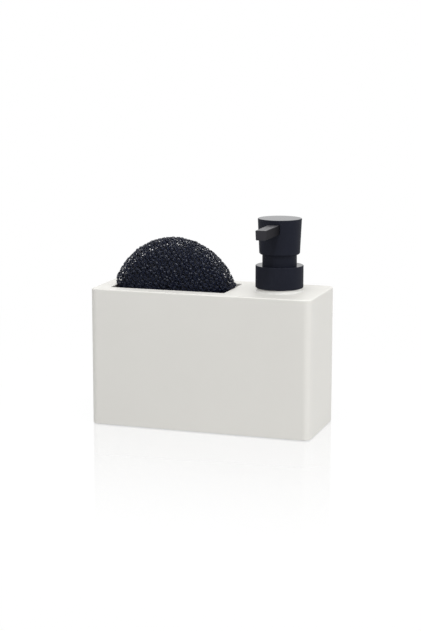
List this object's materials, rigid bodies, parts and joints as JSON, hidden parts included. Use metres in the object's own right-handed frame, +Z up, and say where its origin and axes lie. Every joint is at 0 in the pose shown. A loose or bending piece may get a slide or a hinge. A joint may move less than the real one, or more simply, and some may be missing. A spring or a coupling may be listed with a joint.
{
  "type": "soap dispenser",
  "caption": "Box-shaped pump dispenser for liquid soap, with an open compartment beside the pump that holds a round knitted scourer on edge.",
  "frame": {"origin": "middle of the base, on the surface that the dispenser stands on", "axes": "+Z up; +X along the box from the compartment towards the pump; the spout points along -Y, which is the front"},
  "size_m": [0.15, 0.0738, 0.1391],
  "materials": {
    "housing_white": "satin, fine even texture",
    "seal_rubber": "matt",
    "pale_plastic": "satin",
    "black_anodised": "black, satin",
    "milky_plastic": "milky, smooth",
    "spring_steel": "bright",
    "knitted_black": "open knit of glossy black strand"
  },
  "bodies": {
    "dispenser": {"housing": "housing_white", "base_plate": "housing_white", "base_seal": "seal_rubber", "base_pad": "seal_rubber", "neck_insert": "pale_plastic"},
    "pump": {"pump_cylinder": "milky_plastic", "stem_guide": "pale_plastic", "neck_gasket": "seal_rubber", "ball_cage": "milky_plastic", "dip_tube": "milky_plastic", "return_spring": "spring_steel"},
    "closure": {"collar": "black_anodised", "closure_nut": "pale_plastic"},
    "plunger": {"stem": "milky_plastic", "piston": "milky_plastic"},
    "head": {"head_shell": "black_anodised", "head_core": "pale_plastic", "spout": "black_anodised"},
    "inlet_valve": {"inlet_ball": "spring_steel"},
    "outlet_valve": {"outlet_ball": "spring_steel"},
    "scourer_pad": {"scourer": "knitted_black"}
  },
  "joints": [
    {"name": "pump_lift", "type": "slide", "parent": "dispenser", "child": "pump", "axis": [0, 0, 1], "range_m": [0, 0.11]},
    {"name": "collar_turn", "type": "hinge", "parent": "pump", "child": "closure", "pos_m": [0.0458, 0, 0.094], "axis": [0, 0, 1], "range_deg": [0, 540]},
    {"name": "head_press", "type": "slide", "parent": "pump", "child": "plunger", "axis": [0, 0, -1], "range_m": [0, 0.007], "stiffness_N_per_m": 900, "springref_m": -0.008, "deforming": ["return_spring"]},
    {"name": "head_turn", "type": "hinge", "parent": "plunger", "child": "head", "pos_m": [0.0458, 0, 0.1168], "axis": [0, 0, 1], "continuous": true},
    {"name": "inlet_ball_lift", "type": "slide", "parent": "pump", "child": "inlet_valve", "axis": [0, 0, 1], "range_m": [0, 0.0012]},
    {"name": "outlet_ball_lift", "type": "slide", "parent": "plunger", "child": "outlet_valve", "axis": [0, 0, 1], "range_m": [0, 0.001]},
    {"name": "scourer_lift", "type": "slide", "parent": "dispenser", "child": "scourer_pad", "axis": [0, 0, 1], "range_m": [0, 0.05]}
  ]
}
